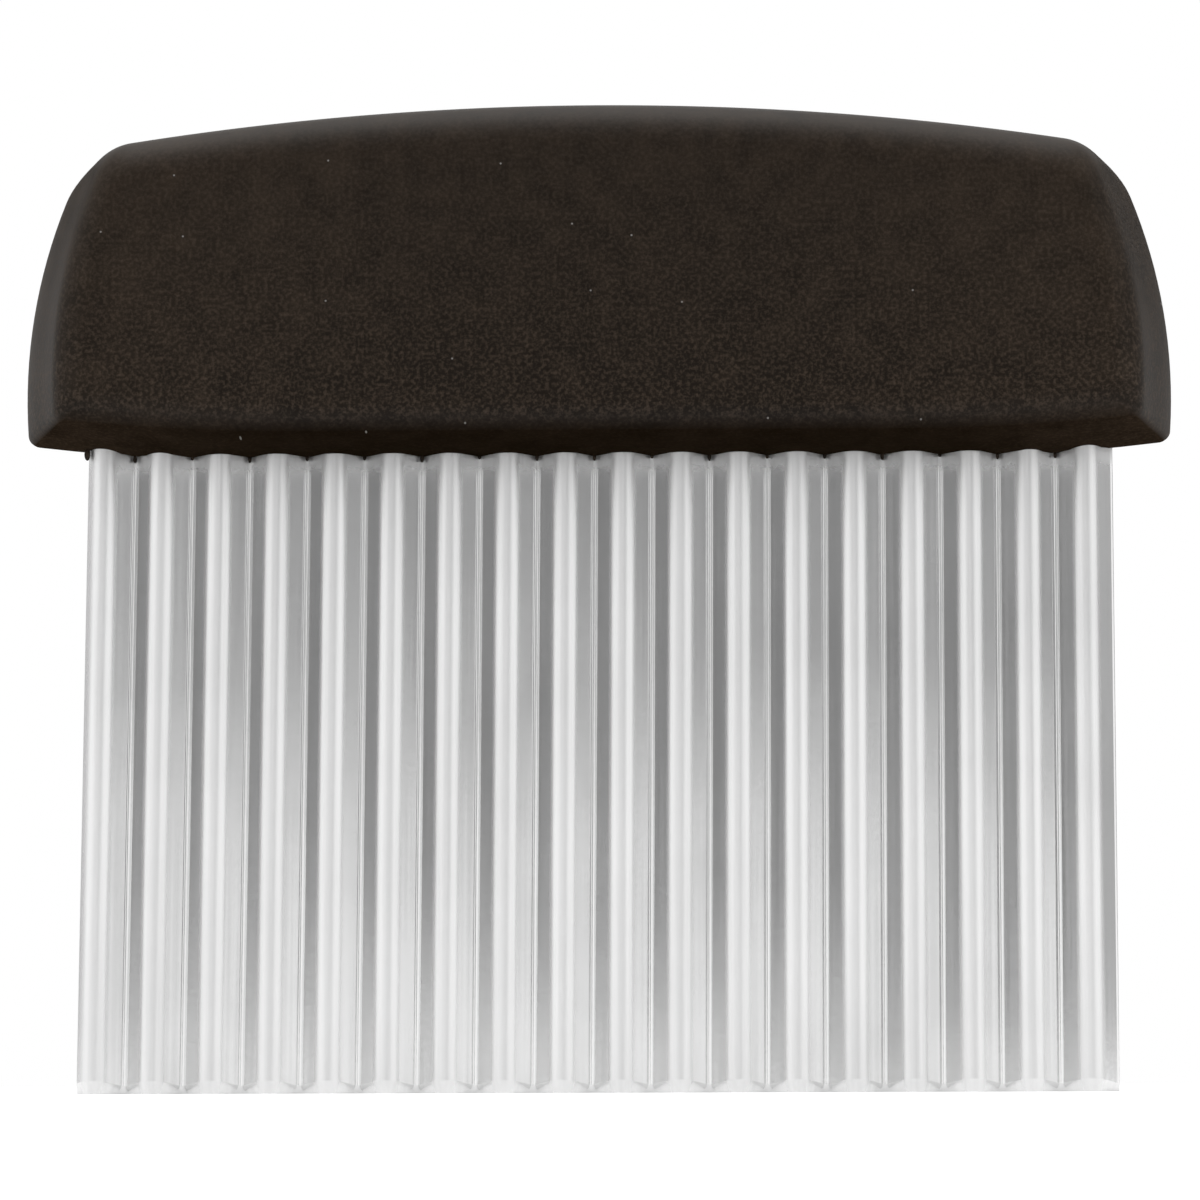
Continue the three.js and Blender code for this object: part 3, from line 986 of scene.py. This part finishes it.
def grey_board(name, degrees, width, low, height, grey):
    """An upright board round the tool, seen only in reflections, which it darkens."""
    face = Matrix.Diagonal((width, height, 1, 1))
    upright = Matrix.Rotation(math.pi / 2, 4, "X")
    place = Matrix.Translation((0, -BOARD_DISTANCE, low + height / 2))
    round_tool = Matrix.Rotation(math.radians(degrees), 4, "Z")
    bm = bmesh.new()
    bmesh.ops.create_grid(
        bm, x_segments=1, y_segments=1, size=0.5, matrix=round_tool @ place @ upright @ face
    )
    board = body_from(name, bm)
    made = Finish(name)
    made.shader.inputs["Base Color"].default_value = (grey, grey, grey, 1)
    made.shader.inputs["Roughness"].default_value = 1
    made.shader.inputs["Specular IOR Level"].default_value = 0
    board.data.materials.append(made.material)
    board.visible_camera = False


def photo_camera(stage):
    """The camera at the photograph's place, almost level with the cutting edge and tilted up."""
    data = bpy.data.cameras.new("camera")
    data.sensor_width = SENSOR_WIDTH
    data.lens = stage.focal_length
    data.shift_x = stage.shift
    data.clip_start = CLIP_START
    camera = bpy.data.objects.new("camera", data)
    orbit = Matrix.Rotation(stage.orbit, 4, "Z")
    place = orbit @ Matrix.Translation((0, -stage.distance, stage.height))
    tilt = Matrix.Rotation(math.pi / 2 + stage.pitch, 4, "X")
    camera.matrix_world = place @ tilt @ Matrix.Rotation(stage.roll, 4, "Z")
    bpy.context.scene.collection.objects.link(camera)
    bpy.context.scene.camera = camera


# Operators


class CUTTER_OT_blade(bpy.types.Operator):
    """Model the corrugated blade with its ground edge"""

    bl_idname = "cutter.blade"
    bl_label = "Blade"

    def execute(self, context):
        scene = context.scene
        body = blade_body("blade_sheet", scene.cutter_blade, scene.cutter_handle.clearance)
        shade(body, BLADE_CREASE)
        finish = scene.cutter_finish
        hand_over(body, "blade", [steel_finish(finish), ground_finish(finish)])
        return {"FINISHED"}


class CUTTER_OT_shells(bpy.types.Operator):
    """Model the front and rear shells of the handle"""

    bl_idname = "cutter.shells"
    bl_label = "Handle Shells"

    def execute(self, context):
        scene = context.scene
        plastic = plastic_finish(scene.cutter_finish)
        for name, node, side in (("handle_front", "front_shell", -1), ("handle_rear", "rear_shell", 1)):
            body = shell_body(name, scene.cutter_blade, scene.cutter_handle, side)
            shade(body, SHELL_CREASE)
            hand_over(body, node, [plastic])
        return {"FINISHED"}


class CUTTER_OT_pins(bpy.types.Operator):
    """Model the pins that lock the tang and close the handle"""

    bl_idname = "cutter.pins"
    bl_label = "Pins"

    def execute(self, context):
        steel = pin_finish(context.scene.cutter_finish)
        for node in tang_pins + closing_pins:
            body = pin_body(f"turned_{node}", node)
            shade(body, PIN_CREASE)
            hand_over(body, node, [steel])
        return {"FINISHED"}


class CUTTER_OT_stage(bpy.types.Operator):
    """Set up the floor, the lamps and the camera"""

    bl_idname = "cutter.stage"
    bl_label = "Stage"

    def execute(self, context):
        stage = context.scene.cutter_stage
        context.scene.view_settings.view_transform = "Standard"
        white_world()
        pale_floor(tuple(stage.floor))
        middle = (CAD_BOX[0] + CAD_BOX[1]) / 2
        for name, place, size, power, in_gloss in LAMPS:
            soft_lamp(name, place, middle, size, power, in_gloss)
        for board in BOARDS:
            grey_board(*board)
        photo_camera(stage)
        return {"FINISHED"}


class CUTTER_PT_sidebar(bpy.types.Panel):
    """Lists the cutter's pieces and sizes in the sidebar."""

    bl_idname = "CUTTER_PT_sidebar"
    bl_label = "Crinkle Cutter"
    bl_space_type = "VIEW_3D"
    bl_region_type = "UI"
    bl_category = "Cutter"

    def draw(self, context):
        for operator in OPERATORS:
            self.layout.operator(operator.bl_idname)
        for attribute in SETTINGS:
            settings = getattr(context.scene, attribute)
            box = self.layout.box()
            for name in settings.__annotations__:
                box.prop(settings, name)


SETTINGS = {
    "cutter_blade": BladeSettings,
    "cutter_handle": HandleSettings,
    "cutter_finish": FinishSettings,
    "cutter_stage": StageSettings,
}
OPERATORS = (CUTTER_OT_blade, CUTTER_OT_shells, CUTTER_OT_pins, CUTTER_OT_stage)
CLASSES = (*SETTINGS.values(), *OPERATORS, CUTTER_PT_sidebar)


def register():
    for item in CLASSES:
        bpy.utils.register_class(item)
    for attribute, settings in SETTINGS.items():
        setattr(bpy.types.Scene, attribute, PointerProperty(type=settings))


def unregister():
    for attribute in SETTINGS:
        delattr(bpy.types.Scene, attribute)
    for item in reversed(CLASSES):
        bpy.utils.unregister_class(item)


def main():
    register()
    bpy.ops.cutter.blade()
    bpy.ops.cutter.shells()
    bpy.ops.cutter.pins()
    bpy.ops.cutter.stage()


if __name__ == "__main__":
    main()
